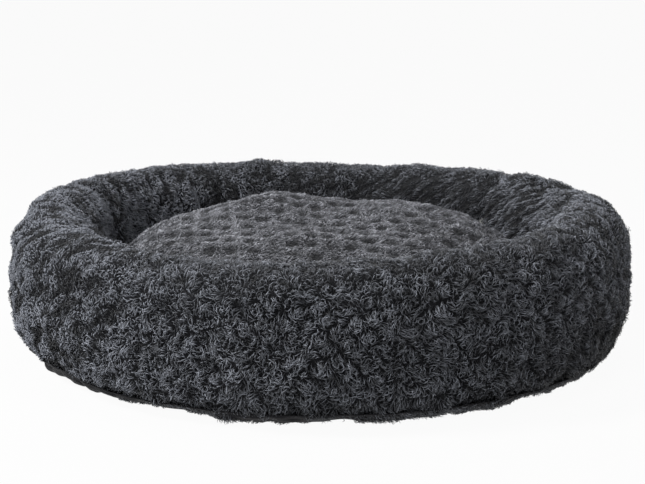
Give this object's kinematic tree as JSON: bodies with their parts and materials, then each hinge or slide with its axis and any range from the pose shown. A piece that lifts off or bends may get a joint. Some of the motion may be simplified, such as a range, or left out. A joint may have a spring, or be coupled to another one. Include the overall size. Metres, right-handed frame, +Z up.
{
  "type": "donut pet bed",
  "caption": "Round plush pet bed: a fibre-filled ring on a cloth base, with a loose puffy cushion that lifts out and opens at a zip.",
  "frame": {"origin": "middle of the underside of the base cloth, on the surface that the bed stands on", "axes": "+Z up, the bed's shortest way; -Y the front; +X to the right seen from the front; the zip is at +Y"},
  "size_m": [0.9, 0.9, 0.21],
  "materials": {
    "charcoal_plush": "curly long-pile plush, matt",
    "cushion_plush": "curly plush with the pile laid flatter, matt",
    "base_cloth": "plain woven cloth, matt",
    "lining_cloth": "plain woven cloth, matt",
    "white_fibre": "loose fibre fill",
    "zip_tape": "woven tape",
    "zip_plastic": "moulded, satin",
    "zip_metal": "dull cast metal"
  },
  "bodies": {
    "nest": {"base_cloth": "base_cloth", "base_wadding": "white_fibre", "floor_cloth": "lining_cloth", "bolster_fill": "white_fibre", "bolster_panel_back": "charcoal_plush", "bolster_panel_left": "charcoal_plush", "bolster_panel_right": "charcoal_plush"},
    "cushion": {"cushion_top": "cushion_plush", "cushion_bottom": "lining_cloth", "cushion_fill": "white_fibre", "zip_tape_upper": "zip_tape", "zip_tape_lower": "zip_tape", "zip_teeth_upper": "zip_plastic", "zip_teeth_lower": "zip_plastic", "zip_stop_closed_end": "zip_plastic", "zip_stop_open_end": "zip_plastic"},
    "zip_slider": {"zip_slider": "zip_metal"},
    "zip_pull": {"zip_pull": "zip_metal"}
  },
  "joints": [
    {"name": "cushion_lift", "type": "slide", "parent": "nest", "child": "cushion", "axis": [0, 0, 1], "range_m": [0, 0.22]},
    {"name": "zip_run", "type": "hinge", "parent": "cushion", "child": "zip_slider", "pos_m": [0, 0, 0.048], "axis": [0, 0, 1], "range_deg": [0, 60]},
    {"name": "pull_swing", "type": "hinge", "parent": "zip_slider", "child": "zip_pull", "pos_m": [0.13614, 0.23507, 0.048], "axis": [0, 0, -1], "range_deg": [0, 170]}
  ]
}
